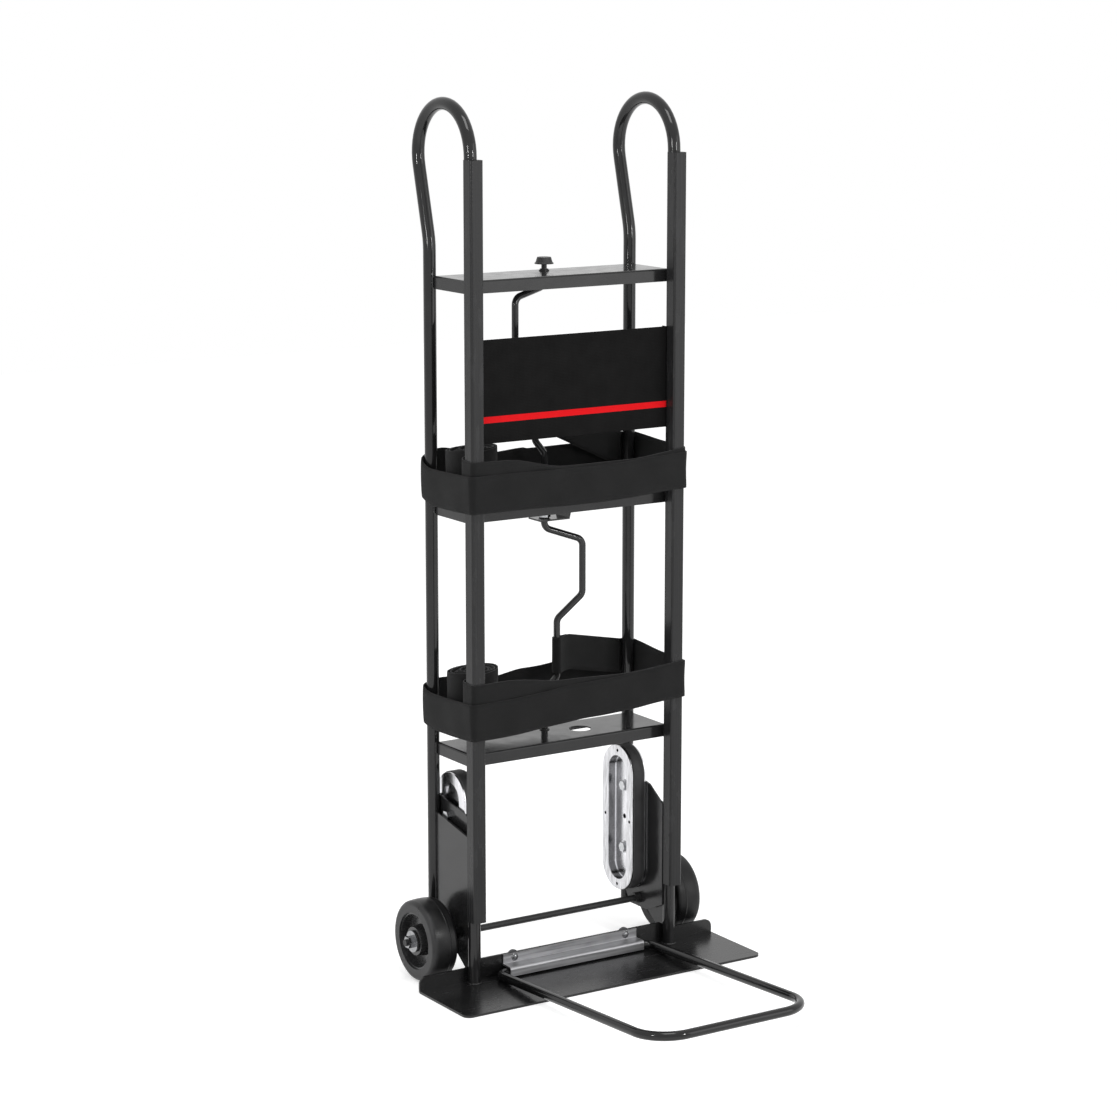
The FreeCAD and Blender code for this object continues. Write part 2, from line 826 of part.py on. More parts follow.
def tyre():
    radius = wheel_diameter / 2
    seat = tyre_seat_diameter / 2 + running_clearance
    start, end = wheel_inner_face, wheel_outer_face
    middle = (start + end) / 2
    shoulder_radius = radius - tyre_crown
    knuckle = tyre_shoulder * (1 - math.sqrt(0.5))

    def at(x, r):
        return V(x, axle_y, axle_z + r)

    edges = [
        Part.LineSegment(at(start, seat), at(start, shoulder_radius - tyre_shoulder)).toShape(),
        Part.Arc(at(start, shoulder_radius - tyre_shoulder), at(start + knuckle, shoulder_radius - knuckle),
                 at(start + tyre_shoulder, shoulder_radius)).toShape(),
        Part.Arc(at(start + tyre_shoulder, shoulder_radius), at(middle, radius),
                 at(end - tyre_shoulder, shoulder_radius)).toShape(),
        Part.Arc(at(end - tyre_shoulder, shoulder_radius), at(end - knuckle, shoulder_radius - knuckle),
                 at(end, shoulder_radius - tyre_shoulder)).toShape(),
        Part.LineSegment(at(end, shoulder_radius - tyre_shoulder), at(end, seat)).toShape(),
        Part.LineSegment(at(end, seat), at(start, seat)).toShape(),
    ]
    return Part.Face(Part.Wire(edges)).revolve(on_axle(0), X_AXIS, 360)


def bush_radius():
    return axle_radius + running_clearance + bush_wall


def wheel_hub():
    rim = tyre_seat_diameter / 2
    rim_inside = rim - hub_rim_thickness
    boss = hub_boss_diameter / 2
    bore = bush_radius()
    middle = (wheel_inner_face + wheel_outer_face) / 2
    rim_start, rim_end = wheel_inner_face + hub_rim_inset, wheel_outer_face - hub_rim_inset
    boss_start, boss_end = wheel_inner_face + hub_boss_inset, wheel_outer_face - hub_boss_inset
    web_start, web_end = middle - hub_web_thickness / 2, middle + hub_web_thickness / 2
    return turned([
        (boss_start, bore),
        (boss_start, boss - hub_draft),
        (web_start, boss),
        (web_start, rim_inside - hub_draft),
        (rim_start, rim_inside),
        (rim_start, rim),
        (rim_end, rim),
        (rim_end, rim_inside),
        (web_end, rim_inside - hub_draft),
        (web_end, boss),
        (boss_end, boss - hub_draft),
        (boss_end, bore),
    ])


def hub_bushes():
    inside = axle_radius + running_clearance
    outside = bush_radius() - running_clearance
    flange = bush_flange_diameter / 2
    bushes = []
    for end, inward in ((bush_inner_end(), 1), (bush_outer_end(), -1)):
        shoulder = end + inward * bush_flange_thickness
        tip = shoulder + inward * bush_length
        bushes.append(turned([(end, inside), (end, flange), (shoulder, flange), (shoulder, outside),
                              (tip, outside), (tip, inside)]))
    return group(bushes)


# Strap cranks: bent rods that stand between the cross plates and wind up the straps

def crank_axis(z):
    return V(0, crank_y, z)


def crank_rod(angle, head_top, support_z, neck, plate_z):
    """Rod from its head above the support down through the plate below."""
    turn = math.radians(angle)
    out = V(math.cos(turn), math.sin(turn), 0)
    span = support_z - plate_z
    places = [
        (0, head_top),
        (0, support_z - neck),
        (crank_throw, support_z - crank_grip_drop),
        (crank_throw, plate_z + span * crank_grip_bottom_share),
        (crank_strap_throw, plate_z + span * crank_strap_top_share),
        (crank_strap_throw, plate_z + span * crank_strap_bottom_share),
        (0, plate_z + span * crank_return_share),
        (0, plate_z - crank_tail),
    ]
    points = [crank_axis(z) + out * reach for reach, z in places]
    edges = rounded_edges(points, [crank_bend] * (len(points) - 2))
    return pipe(edges, points[0], Z_AXIS, crank_radius)


def crank_bush_hole():
    return crank_radius + running_clearance + crank_bush_wall + running_clearance


def crank_bush(seat_z, sheet):
    """Flanged bush pressed into a plate from above."""
    inside = crank_radius + running_clearance
    barrel_bottom = seat_z - sheet - crank_bush_tail
    barrel = ring(crank_axis(barrel_bottom), Z_AXIS, seat_z - barrel_bottom, inside + crank_bush_wall, inside)
    flange = ring(crank_axis(seat_z), Z_AXIS, crank_bush_flange_thickness,
                  crank_bush_flange_diameter / 2, inside)
    return barrel.fuse(flange).removeSplitter()


def crank_bushes():
    plates = [(height, plate_sheet) for height in (top_plate_height, middle_plate_height, lower_plate_height)]
    return group([crank_bush(z, sheet) for z, sheet in plates + [(hanger_lip_top, hanger_sheet)]])


def crank_head_seat(support_z):
    """Height at which the knob or nut bears on the bush below it."""
    return support_z + crank_bush_flange_thickness + crank_head_play


def upper_crank():
    shoulder = crank_head_seat(top_plate_height) + knob_collar_height / 2
    body = crank_rod(crank_upper_angle, shoulder, top_plate_height, upper_crank_neck, middle_plate_height)
    stud = rod(crank_axis(shoulder), Z_AXIS, knob_stud_length, knob_stud_diameter / 2)
    return body.fuse(stud).removeSplitter()


def upper_crank_knob():
    """Flat-bottomed knob with a flared lip, screwed on the stud at the top of the upper crank."""
    seat = crank_head_seat(top_plate_height)
    collar_top = seat + knob_collar_height
    stem_top = collar_top + knob_stem_height
    top = stem_top + knob_height
    lip = knob_lip_diameter / 2
    lip_top = stem_top + knob_lip_thickness
    skirt = knob_skirt_diameter / 2
    skirt_start = stem_top + knob_skirt_start
    stem = knob_stem_diameter / 2
    crown = knob_top_diameter / 2

    def at(radius, z):
        return V(radius, crank_y, z)

    collar = knob_collar_diameter / 2
    edges = [
        Part.LineSegment(at(0, seat), at(collar, seat)).toShape(),
        Part.LineSegment(at(collar, seat), at(collar, collar_top)).toShape(),
        Part.LineSegment(at(collar, collar_top), at(stem, collar_top)).toShape(),
        Part.LineSegment(at(stem, collar_top), at(stem, stem_top)).toShape(),
        Part.LineSegment(at(stem, stem_top), at(lip, stem_top)).toShape(),
        Part.LineSegment(at(lip, stem_top), at(lip, lip_top)).toShape(),
        Part.LineSegment(at(lip, lip_top), at(skirt, skirt_start)).toShape(),
        Part.LineSegment(at(skirt, skirt_start), at(crown, top)).toShape(),
        Part.LineSegment(at(crown, top), at(0, top)).toShape(),
        Part.LineSegment(at(0, top), at(0, seat)).toShape(),
    ]
    knob = Part.Face(Part.Wire(edges)).revolve(crank_axis(0), Z_AXIS, 360)
    shoulder = seat + knob_collar_height / 2
    socket = rod(crank_axis(seat), Z_AXIS, knob_collar_height / 2, crank_radius + running_clearance)
    bore = rod(crank_axis(shoulder), Z_AXIS, knob_stud_length, knob_stud_diameter / 2 + running_clearance)
    return knob.cut(socket).cut(bore)


def lower_crank():
    head_top = crank_head_seat(hanger_lip_top) + crank_nut_height + crank_nut_overhang
    return crank_rod(crank_lower_angle, head_top, hanger_lip_top, lower_crank_neck, lower_plate_height)


def lower_crank_nut():
    seat = crank_axis(crank_head_seat(hanger_lip_top))
    blank = hexagon(seat, Z_AXIS, crank_nut_flats, crank_nut_height)
    return blank.cut(rod(seat, Z_AXIS, crank_nut_height, crank_radius + running_clearance))


def crank_hanger():
    """Bent strip under the middle plate whose lip carries the head of the lower crank."""
    ceiling = middle_plate_height - plate_sheet
    lip_bottom = hanger_lip_top - hanger_sheet
    front = crank_y - hanger_width / 2
    web_top_x = hanger_lip_right + hanger_web_run
    outline = [
        V(-hanger_lip_left, front, hanger_lip_top),
        V(-hanger_lip_left, front, lip_bottom),
        V(hanger_lip_right, front, lip_bottom),
        V(web_top_x, front, ceiling - hanger_sheet),
        V(web_top_x + hanger_flange, front, ceiling - hanger_sheet),
        V(web_top_x + hanger_flange, front, ceiling),
        V(web_top_x - hanger_sheet, front, ceiling),
        V(hanger_lip_right - hanger_sheet, front, hanger_lip_top),
    ]
    hanger = prism(outline, V(0, hanger_width, 0))
    return hanger.cut(rod(crank_axis(lip_bottom), Z_AXIS, hanger_sheet, crank_bush_hole()))


# Straps: webbing round all four legs, one end sewn round the crank, the spare end rolled up

def strap_limits():
    """Inner faces of the strap's run round the legs: half width, front and rear."""
    side = rail_x + guard_width / 2 + strap_clearance
    front = -guard_nose - strap_clearance
    rear = leg_depth + tube_radius + strap_clearance
    return side, front, rear


def upright_block(side, front, rear, corner, rear_corner, bottom):
    block = box((-side, front, bottom), (side, rear, bottom + strap_width))
    block = block.makeFillet(corner, edges_along(block, Z_AXIS, lambda p: near(p.y, front)))
    return block.makeFillet(rear_corner, edges_along(block, Z_AXIS, lambda p: near(p.y, rear)))


def strap_loop(bottom):
    side, front, rear = strap_limits()
    thick = strap_loop_thickness
    rear_corner = tube_radius + strap_clearance
    outside = upright_block(side + thick, front - thick, rear + thick,
                            strap_corner + thick, rear_corner + thick, bottom)
    inside = upright_block(side, front, rear, strap_corner, rear_corner, bottom)
    return outside.cut(inside)


def strap_route(angle):
    """Eye centre on the crank, direction of the tail, and how far the eye's tongue reaches."""
    turn = math.radians(angle)
    side, front, rear = strap_limits()
    eye = V(crank_strap_throw * math.cos(turn), crank_y + crank_strap_throw * math.sin(turn), 0)
    landing = V(rail_x - strap_tail_landing, rear + strap_thickness / 2, 0)
    tail = landing - eye
    length = tail.Length
    along = tail.normalize()
    offset = eye - V(0, crank_y, 0)
    back = offset.dot(along)
    reach = math.sqrt(back ** 2 - offset.dot(offset) + strap_sweep_radius ** 2) - back
    return eye, along, reach, length


def strip(start, end, start_z, end_z, thickness):
    """Flat strip of webbing between two points, its ends at their own heights."""
    along = (end - start).normalize()
    across = V(-along.y, along.x, 0)
    corner = start - across * (thickness / 2)
    far = end - across * (thickness / 2)
    outline = [
        corner + Z_AXIS * start_z,
        far + Z_AXIS * end_z,
        far + Z_AXIS * (end_z + strap_width),
        corner + Z_AXIS * (start_z + strap_width),
    ]
    return prism(outline, across * thickness)


def strap_tail(angle, bottom, eye_bottom):
    eye, along, reach, length = strap_route(angle)
    start = eye + along * (reach + strap_tail_gap)
    end = eye + along * length
    return strip(start, end, eye_bottom, bottom + strap_tail_lift, strap_thickness)


def strap_roll(bottom):
    """Spiral of half circles that leaves the strap's left run and winds inwards."""
    side, front, rear = strap_limits()
    half = strap_thickness / 2
    step = roll_pitch / 2
    outer_radius = roll_inner_radius + roll_half_turns * step
    middle_y = (front + rear) / 2
    centre = V(-side - half + outer_radius, middle_y, 0)
    outer_edges = []
    inner_edges = []
    reach = outer_radius
    sense = -1
    for turn in range(roll_half_turns):
        end_x = centre.x - sense * reach
        for edges, offset in ((outer_edges, half), (inner_edges, -half)):
            radius = reach + offset
            edges.append(Part.Arc(
                V(centre.x + sense * radius, middle_y, 0),
                V(centre.x, middle_y + sense * radius, 0),
                V(centre.x - sense * radius, middle_y, 0)).toShape())
        reach -= step
        centre = V(end_x + sense * reach, middle_y, 0)
        sense = -sense
    first_outer = outer_edges[0].Vertexes[0].Point
    first_inner = inner_edges[0].Vertexes[0].Point
    last_outer = outer_edges[-1].Vertexes[-1].Point
    last_inner = inner_edges[-1].Vertexes[-1].Point
    edges = outer_edges + [Part.LineSegment(last_outer, last_inner).toShape()]
    edges += inner_edges[::-1] + [Part.LineSegment(first_inner, first_outer).toShape()]
    face = Part.Face(Part.Wire(Part.__sortEdges__(edges)))
    roll = face.extrude(V(0, 0, strap_width))
    roll.translate(V(0, 0, bottom + roll_lift))
    print("strap roll: least gap between turns", round(roll_pitch - strap_thickness, 2))
    return roll


def strap(angle, bottom, eye_bottom):
    loop = strap_loop(bottom)
    return loop.fuse([strap_tail(angle, bottom, eye_bottom), strap_roll(bottom)]).removeSplitter()


def strap_eye(angle, eye_bottom):
    """Sewn eye round the crank, with the tongue that leads to the tail."""
    eye, along, reach, length = strap_route(angle)
    inside = crank_radius + strap_eye_clearance
    base = eye + Z_AXIS * eye_bottom
    hole = rod(base, Z_AXIS, strap_width, inside)
    tongue = strip(eye, eye + along * reach, eye_bottom, eye_bottom, 2 * strap_thickness)
    return rod(base, Z_AXIS, strap_width, inside + strap_thickness).fuse(tongue).cut(hole).removeSplitter()


def eye_bottom(support_z, plate_z):
    return plate_z + (support_z - plate_z) * crank_strap_bottom_share + strap_eye_lift


# Build every piece and write one file for each

crank_hole = (0, crank_y, crank_bush_hole())
round_hole = (plate_hole_x, leg_depth / 2, plate_hole_diameter / 2)
upper_eye_bottom = eye_bottom(top_plate_height, middle_plate_height)
lower_eye_bottom = eye_bottom(hanger_lip_top, lower_plate_height)

pieces = {
    "top_cross_plate": cross_plate(top_plate_height, [crank_hole]),
    "middle_cross_plate": cross_plate(middle_plate_height, [crank_hole]),
    "lower_cross_plate": cross_plate(lower_plate_height, [crank_hole, round_hole]),
    "front_panel": front_panel(),
    "panel_rivets": panel_rivets(),
    "toe_plate": toe_plate(),
    "hinge_bracket": hinge_bracket(),
    "hinge_bolts": hinge_bolts(),
    "hinge_washers": hinge_washers(),
    "hinge_nuts": hinge_nuts(),
    "toe_extension_bar": toe_extension_bar(),
    "climber_bolts": climber_bolts(),
    "climber_spacers": climber_spacers(),
    "climber_nuts": climber_nuts(),
    "axle": axle(),
    "axle_bosses": axle_bosses(),
    "axle_spacers": axle_spacers(),
    "axle_washers": axle_washers(),
    "axle_nuts": axle_nuts(),
    "upper_crank": upper_crank(),
    "upper_crank_knob": upper_crank_knob(),
    "lower_crank": lower_crank(),
    "lower_crank_nut": lower_crank_nut(),
    "crank_hanger": crank_hanger(),
    "crank_bushes": crank_bushes(),
    "upper_strap": strap(crank_upper_angle, upper_strap_bottom, upper_eye_bottom),
    "lower_strap": strap(crank_lower_angle, lower_strap_bottom, lower_eye_bottom),
    "upper_strap_eye": strap_eye(crank_upper_angle, upper_eye_bottom),
    "lower_strap_eye": strap_eye(crank_lower_angle, lower_eye_bottom),
}

paired = {
    "side_tube": side_tube(),
    "rail_guard": rail_guard(),
    "side_gusset": side_gusset(),
    "climber_plate": climber_plate(),
    "climber_shoe": climber_shoe(),
    "climber_belt": climber_belt(),
    "tyre": tyre(),
    "wheel_hub": wheel_hub(),
    "hub_bushes": hub_bushes(),
}
for name, shape in paired.items():
    pieces["right_" + name] = shape
    pieces["left_" + name] = mirrored(shape)

os.makedirs("parts", exist_ok=True)
for name, shape in pieces.items():
    shape.exportStep(os.path.join("parts", name + ".step"))
    print(name, len(shape.Solids), "solids", round(shape.Volume / 1000, 1), "cm3", shape.isValid())
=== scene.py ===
import itertools
import math
import bpy
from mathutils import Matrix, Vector


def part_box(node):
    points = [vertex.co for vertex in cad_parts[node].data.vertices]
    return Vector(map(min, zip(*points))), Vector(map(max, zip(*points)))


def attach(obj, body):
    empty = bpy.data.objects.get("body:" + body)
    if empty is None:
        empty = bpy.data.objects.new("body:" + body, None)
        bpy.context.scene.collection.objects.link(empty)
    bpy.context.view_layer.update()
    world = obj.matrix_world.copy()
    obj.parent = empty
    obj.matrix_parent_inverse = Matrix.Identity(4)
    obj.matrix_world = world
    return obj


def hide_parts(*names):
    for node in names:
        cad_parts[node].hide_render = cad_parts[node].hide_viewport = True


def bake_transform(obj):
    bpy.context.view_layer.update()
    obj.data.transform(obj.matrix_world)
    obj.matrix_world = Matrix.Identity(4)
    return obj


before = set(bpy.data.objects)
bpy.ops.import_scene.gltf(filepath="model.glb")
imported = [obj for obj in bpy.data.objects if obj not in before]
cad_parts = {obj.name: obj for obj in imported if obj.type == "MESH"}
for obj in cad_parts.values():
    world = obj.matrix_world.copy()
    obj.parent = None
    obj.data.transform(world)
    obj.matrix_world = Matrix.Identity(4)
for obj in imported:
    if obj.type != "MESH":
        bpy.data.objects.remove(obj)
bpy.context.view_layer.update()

# Side frames: one bent steel tube on each side, from the toe plate up the front leg, round the
# handle loop and down the rear leg. Black powder coat, smooth and glossy, with a fine peel.


def new_material(name):
    """A material with a plain principled shader; returns it with its node tree and shader."""
    made = bpy.data.materials.new(name)
    made.use_nodes = True
    return made, made.node_tree, made.node_tree.nodes["Principled BSDF"]


def noise(tree, scale, detail, stretch=(1, 1, 1)):
    """Uneven value over the truck's own coordinates; scale is in grains per metre."""
    place = tree.nodes.new("ShaderNodeTexCoord")
    mapping = tree.nodes.new("ShaderNodeMapping")
    mapping.inputs["Scale"].default_value = stretch
    tree.links.new(place.outputs["Object"], mapping.inputs["Vector"])
    grain = tree.nodes.new("ShaderNodeTexNoise")
    grain.inputs["Scale"].default_value = scale
    grain.inputs["Detail"].default_value = detail
    tree.links.new(mapping.outputs["Vector"], grain.inputs["Vector"])
    return grain.outputs["Fac"]


def spread(tree, value, low, high, start=0.3, end=0.7):
    """Carry a value from start and end over to low and high; noise lies mostly in the default range."""
    node = tree.nodes.new("ShaderNodeMapRange")
    node.inputs["From Min"].default_value = start
    node.inputs["From Max"].default_value = end
    node.inputs["To Min"].default_value = low
    node.inputs["To Max"].default_value = high
    tree.links.new(value, node.inputs["Value"])
    return node.outputs["Result"]


def patches(tree, scale, detail, stretch=(1, 1, 1), start=0.3, end=0.7):
    """Noise spread from 0 to 1."""
    return spread(tree, noise(tree, scale, detail, stretch), 0, 1, start, end)


def tint(tree, value, first, second):
    """Colour between two ends; either end may be a colour or a socket."""
    node = tree.nodes.new("ShaderNodeMix")
    node.data_type = "RGBA"
    tree.links.new(value, node.inputs[0])
    for socket, colour in ((node.inputs[6], first), (node.inputs[7], second)):
        if isinstance(colour, tuple):
            socket.default_value = (*colour, 1)
        else:
            tree.links.new(colour, socket)
    return node.outputs[2]


def bump(tree, height, depth, under=None):
    """Surface relief from a height value; depth is in metres."""
    node = tree.nodes.new("ShaderNodeBump")
    node.inputs["Strength"].default_value = 1.0
    node.inputs["Distance"].default_value = depth
    tree.links.new(height, node.inputs["Height"])
    if under:
        tree.links.new(under, node.inputs["Normal"])
    return node.outputs["Normal"]


def surface(tree, shader, colour, roughness, relief):
    """Join a finish's colour, roughness and relief to its shader."""
    tree.links.new(colour, shader.inputs["Base Color"])
    tree.links.new(roughness, shader.inputs["Roughness"])
    tree.links.new(relief, shader.inputs["Normal"])


def grey(level):
    """Neutral colour with the faint blue cast of black paint and steel."""
    return (level, level, level * 1.03)


def dress(material, *names):
    """Give CAD nodes a material."""
    for name in names:
        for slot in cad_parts[name].material_slots:
            slot.material = material


def both(name):
    """The names of a left and right pair of nodes."""
    return "left_" + name, "right_" + name


def coated_steel(name, dark, light, gloss, peel, shine=0.4):
    """Powder-coated steel: cloudy black, uneven gloss, orange peel and a few dust specks."""
    made, tree, shader = new_material(name)
    clouds = patches(tree, scale=14, detail=4)
    specks = patches(tree, scale=900, detail=1, start=0.72, end=0.78)
    base = tint(tree, clouds, grey(dark), grey(light))
    colour = tint(tree, specks, base, grey(light * 3))
    roughness = spread(tree, noise(tree, scale=45, detail=3), gloss - 0.04, gloss + 0.07)
    surface(tree, shader, colour, roughness, bump(tree, noise(tree, scale=520, detail=2), peel))
    shader.inputs["Specular IOR Level"].default_value = shine
    return made


tube_coat = coated_steel("tube_coat", dark=0.010, light=0.016, gloss=0.08, peel=0.000002, shine=0.36)
dress(tube_coat, *both("side_tube"))

# Cross plates: three pressed steel trays, flanges down, welded between the front and rear legs.
# The same black coat, a little duller than on the tubes; the wide flat tops mirror the pale room.
cross_plates = ("top_cross_plate", "middle_cross_plate", "lower_cross_plate")
plate_coat = coated_steel("plate_coat", dark=0.013, light=0.020, gloss=0.16, peel=0.000003, shine=0.33)
dress(plate_coat, *cross_plates)

# Weld beads: short rippled seams that join each plate's corners to the four legs, and a ring of
# weld where each front leg stands on the toe plate. Painted over with the same coat.
tube_low, tube_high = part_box("right_side_tube")
tube_radius = (tube_high.x - tube_low.x) / 2
leg_x = (tube_high.x + tube_low.x) / 2
rear_leg_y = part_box("top_cross_plate")[1].y + tube_radius
bead_radius = 0.0023
bead_sides = 8
bead_end_share = 0.35
seam_rows = 15
outer_seam = (0.0016, 0.0014)
inner_seam = (-0.0048, -0.0009)
ring_rows = 44
ring_gap = 0.0008


def add_bead(vertices, faces, path, across, over, closed):
    """One rippled seam along a path; across and over give its section's two directions."""
    first = len(vertices)
    for index, place in enumerate(path):
        swell = bead_radius * (0.84 + 0.2 * math.sin(index * 1.9) + 0.06 * math.sin(index * 0.7))
        if not closed and index in (0, len(path) - 1):
            swell *= bead_end_share
        for side in range(bead_sides):
            turn = 2 * math.pi * side / bead_sides
            sideways = across[index] * (swell * math.cos(turn))
            vertices.append(place + sideways + over * (swell * math.sin(turn)))
    spans = len(path) if closed else len(path) - 1
    for index in range(spans):
        here = first + index * bead_sides
        there = first + (index + 1) % len(path) * bead_sides
        for side in range(bead_sides):
            after = (side + 1) % bead_sides
            faces.append((here + side, here + after, there + after, there + side))
    if not closed:
        faces.append(tuple(range(first, first + bead_sides))[::-1])
        last = first + (len(path) - 1) * bead_sides
        faces.append(tuple(range(last, last + bead_sides)))


def weld_piece(name, vertices, faces):
    """A piece of painted weld on the frame."""
    mesh = bpy.data.meshes.new(name)
    mesh.from_pydata(vertices, [], faces)
    for polygon in mesh.polygons:
        polygon.use_smooth = True
    mesh.materials.append(weld_coat)
    piece = bpy.data.objects.new(name, mesh)
    bpy.context.scene.collection.objects.link(piece)
    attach(piece, "frame")


weld_coat = coated_steel("weld_coat", dark=0.010, light=0.018, gloss=0.16, peel=0.00002)
seam_points, seam_faces = [], []
legs = ((0, 1), (rear_leg_y, -1))
for plate, side, leg, seam in itertools.product(cross_plates, (-1, 1), legs, (outer_seam, inner_seam)):
    plate_low, plate_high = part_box(plate)
    leg_y, inward = leg
    seam_offset, seam_lean = seam
    seam_x = side * (leg_x + seam_offset)
    seam_y = leg_y + inward * (tube_radius + seam_lean)
    top_end = Vector((seam_x, seam_y, plate_high.z))
    bottom_end = Vector((seam_x, seam_y, plate_low.z))
    path = [top_end.lerp(bottom_end, row / (seam_rows - 1)) for row in range(seam_rows)]
    add_bead(seam_points, seam_faces, path, [Vector((1, 0, 0))] * seam_rows, Vector((0, 1, 0)), False)
weld_piece("plate_welds", seam_points, seam_faces)

ring_points, ring_faces = [], []
ring_turns = [2 * math.pi * row / ring_rows for row in range(ring_rows)]
outward = [Vector((math.cos(turn), math.sin(turn), 0)) for turn in ring_turns]
for side in (-1, 1):
    foot = Vector((side * leg_x, 0, tube_low.z + ring_gap))
    path = [foot + direction * (tube_radius + ring_gap) for direction in outward]
    add_bead(ring_points, ring_faces, path, outward, Vector((0, 0, 1)), True)
weld_piece("leg_welds", ring_points, ring_faces)

# Rail guards: hollow black plastic strips clipped over the front legs for the load to slide on.
# Drawn through a die, so faint lines run along them, with light scuffs over the lines.


def drawn_plastic(name):
    """Black plastic with die lines up and down and paler, duller scuffs."""
    made, tree, shader = new_material(name)
    die_lines = noise(tree, scale=420, detail=2, stretch=(1, 1, 0.004))
    scuffs = patches(tree, scale=60, detail=5, stretch=(1, 1, 0.25), start=0.55, end=0.8)
    base = tint(tree, spread(tree, die_lines, 0, 1), grey(0.016), grey(0.024))
    colour = tint(tree, scuffs, base, grey(0.036))
    roughness = spread(tree, scuffs, 0.25, 0.4, start=0, end=1)
    surface(tree, shader, colour, roughness, bump(tree, die_lines, depth=0.000012))
    shader.inputs["Specular IOR Level"].default_value = 0.22
    return made


dress(drawn_plastic("guard_plastic"), *both("rail_guard"))

# Front panel: thin black board riveted between the front legs, its side edges folded back.
# The face has a fine grid of raised dots and one plain red stripe near the bottom edge.
stripe_low = 0.9825
stripe_high = 0.9935
stripe_depth = 0.0005
dot_pitch = 0.0026


def compute(tree, operation, first, second=None):
    """One arithmetic step on values or sockets."""
    node = tree.nodes.new("ShaderNodeMath")
    node.operation = operation
    for socket, value in zip(node.inputs, (first, second)):
        if value is None:
            continue
        if isinstance(value, (int, float)):
            socket.default_value = value
        else:
            tree.links.new(value, socket)
    return node.outputs[0]


def split_place(tree, node_kind="ShaderNodeTexCoord", output="Object"):
    """The X, Y and Z sockets of a point's place; by default in the truck's own coordinates."""
    place = tree.nodes.new(node_kind)
    split = tree.nodes.new("ShaderNodeSeparateXYZ")
    tree.links.new(place.outputs[output], split.inputs["Vector"])
    return split.outputs["X"], split.outputs["Y"], split.outputs["Z"]


def dotted_board(name):
    """Near-black board with a dot grid, its raised dots coloured paler as painted highlights; the stripe
    lies on the front of the face alone.
    """
    made, tree, shader = new_material(name)
    x, y, z = split_place(tree)
    turns = 2 * math.pi / dot_pitch
    across = compute(tree, "COSINE", compute(tree, "MULTIPLY", x, turns))
    upward = compute(tree, "COSINE", compute(tree, "MULTIPLY", z, turns))
    dots = spread(tree, compute(tree, "ADD", across, upward), 0, 1, start=0.7, end=1.3)
    above = compute(tree, "GREATER_THAN", z, stripe_low)
    below = compute(tree, "LESS_THAN", z, stripe_high)
    ahead = compute(tree, "LESS_THAN", y, stripe_depth)
    stripe = compute(tree, "MULTIPLY", compute(tree, "MULTIPLY", above, below), ahead)
    clouds = patches(tree, scale=9, detail=3)
    ground = tint(tree, clouds, (0.0016, 0.0014, 0.0014), (0.0028, 0.0024, 0.0024))
    # Painted highlight: the raised dots are coloured paler than the ground between them.
    lit_dot_board = tint(tree, dots, ground, (0.007, 0.0075, 0.0075))
    red = tint(tree, noise(tree, scale=120, detail=3), (0.66, 0.005, 0.008), (0.73, 0.007, 0.012))
    roughness = spread(tree, noise(tree, scale=30, detail=3), 0.55, 0.7)
    surface(tree, shader, tint(tree, stripe, lit_dot_board, red), roughness, bump(tree, dots, depth=0.00006))
    shader.inputs["Specular IOR Level"].default_value = 0.08
    return made


dress(dotted_board("dotted_board"), "front_panel")
dress(coated_steel("rivet_coat", dark=0.008, light=0.015, gloss=0.3, peel=0.00001), "panel_rivets")

# Toe plate: steel plate with its rear edge turned up, welded under the front legs.
# Black coat with more scuffs than the tubes, because loads are dragged on and off it.


def scuffed_steel(name, dark, light, gloss):
    """Powder-coated steel with scratches across the plate, paler and duller than the coat."""
    made, tree, shader = new_material(name)
    clouds = patches(tree, scale=11, detail=4)
    scratches = patches(tree, scale=90, detail=6, stretch=(0.25, 1.6, 1), start=0.6, end=0.82)
    base = tint(tree, clouds, grey(dark), grey(light))
    colour = tint(tree, scratches, base, grey(light * 2.2))
    roughness = spread(tree, scratches, gloss, gloss + 0.15, start=0, end=1)
    peel = bump(tree, noise(tree, scale=520, detail=2), depth=0.000005)
    surface(tree, shader, colour, roughness, bump(tree, scratches, depth=0.000004, under=peel))
    shader.inputs["Specular IOR Level"].default_value = 0.4
    return made


dress(scuffed_steel("toe_plate_coat", dark=0.007, light=0.012, gloss=0.25), "toe_plate")

# Hinge bracket: folded strip of bare steel bolted to the toe plate's lip; it traps the ends of the
# toe extension. Dull grey with rolling marks along it; its bolts, washers and nuts are zinc plated.


def rolled_steel(name):
    """Bare steel, stained in patches, with paler rolling marks along its length."""
    made, tree, shader = new_material(name)
    marks = noise(tree, scale=240, detail=4, stretch=(0.04, 1, 1))
    base = tint(tree, patches(tree, scale=35, detail=4), grey(0.18), grey(0.29))
    colour = tint(tree, spread(tree, marks, 0, 1), base, grey(0.42))
    surface(tree, shader, colour, spread(tree, marks, 0.3, 0.48), bump(tree, marks, depth=0.00005))
    shader.inputs["Metallic"].default_value = 0.85
    return made


def zinc_plate(name, light):
    """Bright plated fastener with a slightly milky, uneven film."""
    made, tree, shader = new_material(name)
    film = patches(tree, scale=130, detail=4)
    colour = tint(tree, film, (light * 0.72, light * 0.74, light * 0.76), grey(light))
    roughness = spread(tree, noise(tree, scale=300, detail=3), 0.14, 0.3)
    surface(tree, shader, colour, roughness, bump(tree, noise(tree, scale=1500, detail=2), depth=0.00003))
    shader.inputs["Metallic"].default_value = 1.0
    return made


dress(rolled_steel("bracket_steel"), "hinge_bracket")
dress(zinc_plate("dull_zinc", light=0.2), "hinge_bolts", "hinge_washers", "hinge_nuts")

